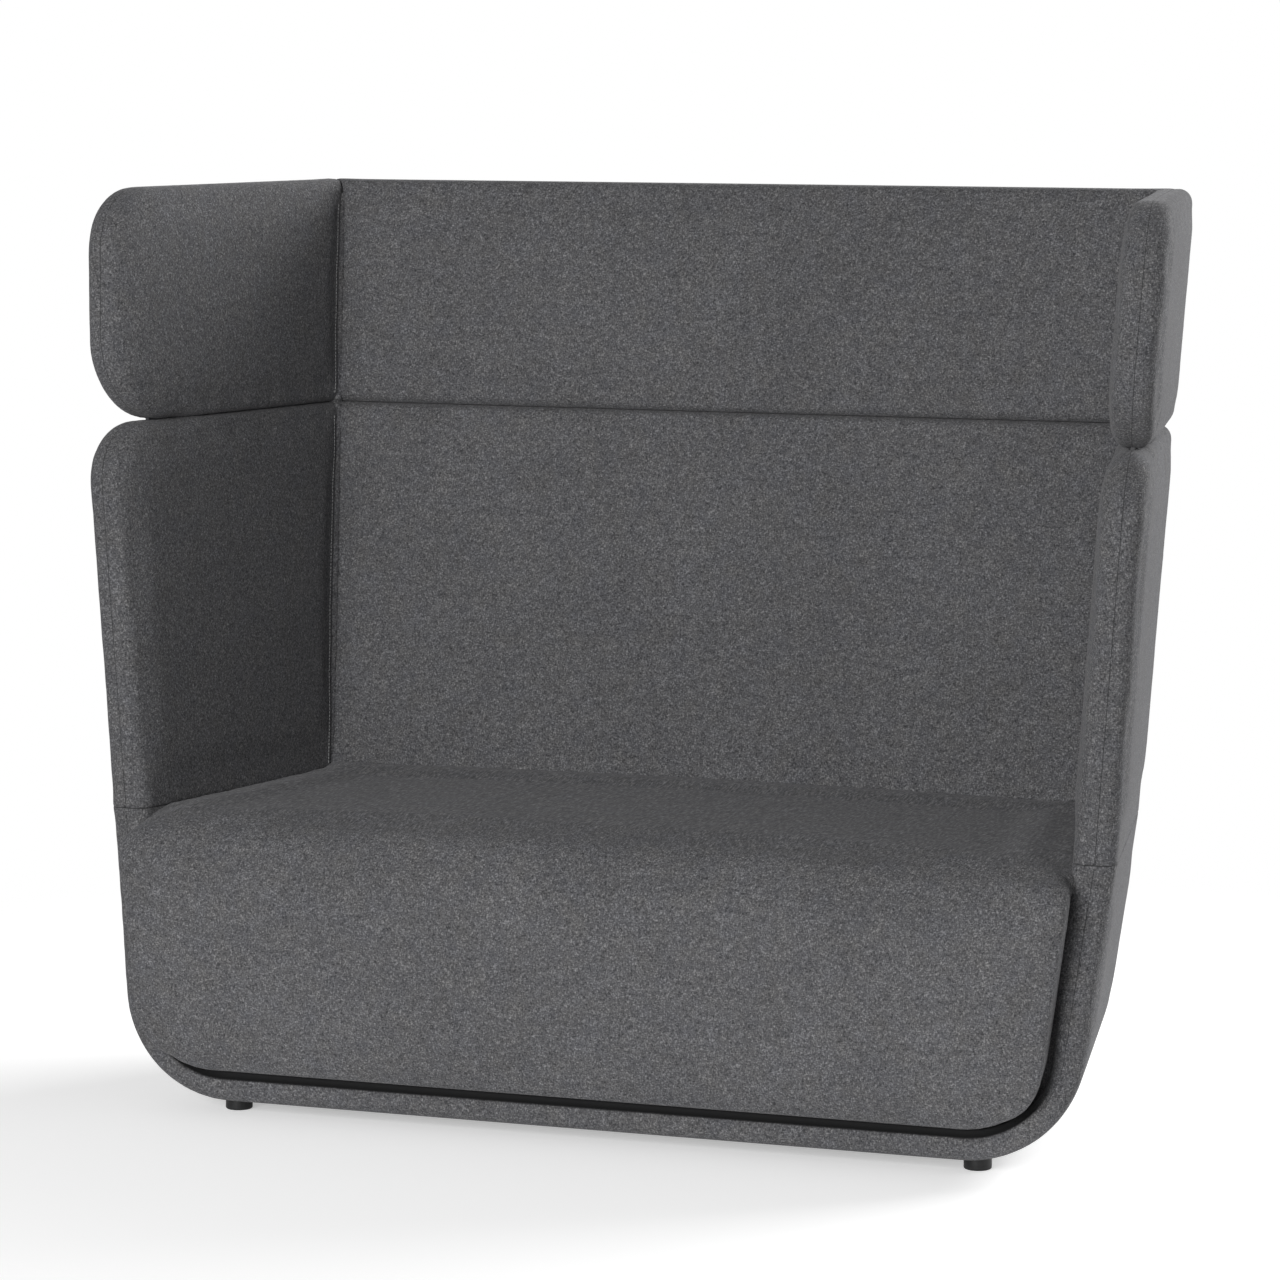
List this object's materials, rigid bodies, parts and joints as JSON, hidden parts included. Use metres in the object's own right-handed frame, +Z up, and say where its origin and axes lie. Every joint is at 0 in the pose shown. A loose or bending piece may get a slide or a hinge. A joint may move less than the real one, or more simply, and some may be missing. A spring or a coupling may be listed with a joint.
{
  "type": "high-back two-seater sofa",
  "caption": "Upholstered high-back sofa for two: a splayed, padded shell in stacked tiers round a block seat, on short levelling feet.",
  "frame": {"origin": "on the floor, at the middle of the sofa's outer box", "axes": "+X across the sofa to the right as seen from the front, +Y towards the back, +Z up"},
  "size_m": [1.6412, 0.7532, 1.36],
  "materials": {
    "upholstery": "wool felt",
    "dust_cloth": "non-woven",
    "plywood": "raw",
    "beech": "raw",
    "coated_steel": "satin",
    "zinc_steel": "zinc",
    "foot_plastic": "satin"
  },
  "bodies": {
    "root": {"arm_core_left": "plywood", "arm_core_right": "plywood", "arm_inner_pad_left": "upholstery", "arm_inner_pad_right": "upholstery", "arm_outer_pad_left": "upholstery", "arm_outer_pad_right": "upholstery", "backrest_core": "plywood", "backrest_inner_pad": "upholstery", "backrest_outer_pad": "upholstery", "bar_screws": "zinc_steel", "bracket_screws": "zinc_steel", "corner_brackets": "coated_steel", "dust_cover": "dust_cloth", "floor_screws": "zinc_steel", "foot_plate_screws": "zinc_steel", "foot_plates": "coated_steel", "head_back_core": "plywood", "head_back_inner_pad": "upholstery", "head_back_outer_pad": "upholstery", "head_joint_bars": "coated_steel", "seat_bolts": "zinc_steel", "seat_box_divider": "plywood", "seat_box_front": "plywood", "seat_box_rear": "plywood", "seat_box_side_left": "plywood", "seat_box_side_right": "plywood", "seat_corner_blocks": "beech", "seat_cushion": "upholstery", "seat_deck": "plywood", "tier_joint_bars": "coated_steel", "tub_edge_roll_left": "upholstery", "tub_edge_roll_right": "upholstery", "tub_floor_board": "plywood", "tub_frame_back": "plywood", "tub_frame_left": "plywood", "tub_frame_right": "plywood", "tub_lip_pad": "upholstery", "tub_outer_pad_back": "upholstery", "tub_outer_pad_left": "upholstery", "tub_outer_pad_right": "upholstery", "wing_core_left": "plywood", "wing_core_right": "plywood", "wing_inner_pad_left": "upholstery", "wing_inner_pad_right": "upholstery", "wing_outer_pad_left": "upholstery", "wing_outer_pad_right": "upholstery"},
    "foot_body_front_left": {"foot_front_left": "foot_plastic", "foot_stud_front_left": "zinc_steel"},
    "foot_body_front_right": {"foot_front_right": "foot_plastic", "foot_stud_front_right": "zinc_steel"},
    "foot_body_rear_left": {"foot_rear_left": "foot_plastic", "foot_stud_rear_left": "zinc_steel"},
    "foot_body_rear_right": {"foot_rear_right": "foot_plastic", "foot_stud_rear_right": "zinc_steel"}
  },
  "joints": [
    {"name": "level_front_left", "type": "slide", "parent": "root", "child": "foot_body_front_left", "axis": [0, 0, 1], "range_m": [-0.01, 0]},
    {"name": "level_front_right", "type": "slide", "parent": "root", "child": "foot_body_front_right", "axis": [0, 0, 1], "range_m": [-0.01, 0]},
    {"name": "level_rear_left", "type": "slide", "parent": "root", "child": "foot_body_rear_left", "axis": [0, 0, 1], "range_m": [-0.01, 0]},
    {"name": "level_rear_right", "type": "slide", "parent": "root", "child": "foot_body_rear_right", "axis": [0, 0, 1], "range_m": [-0.01, 0]}
  ]
}
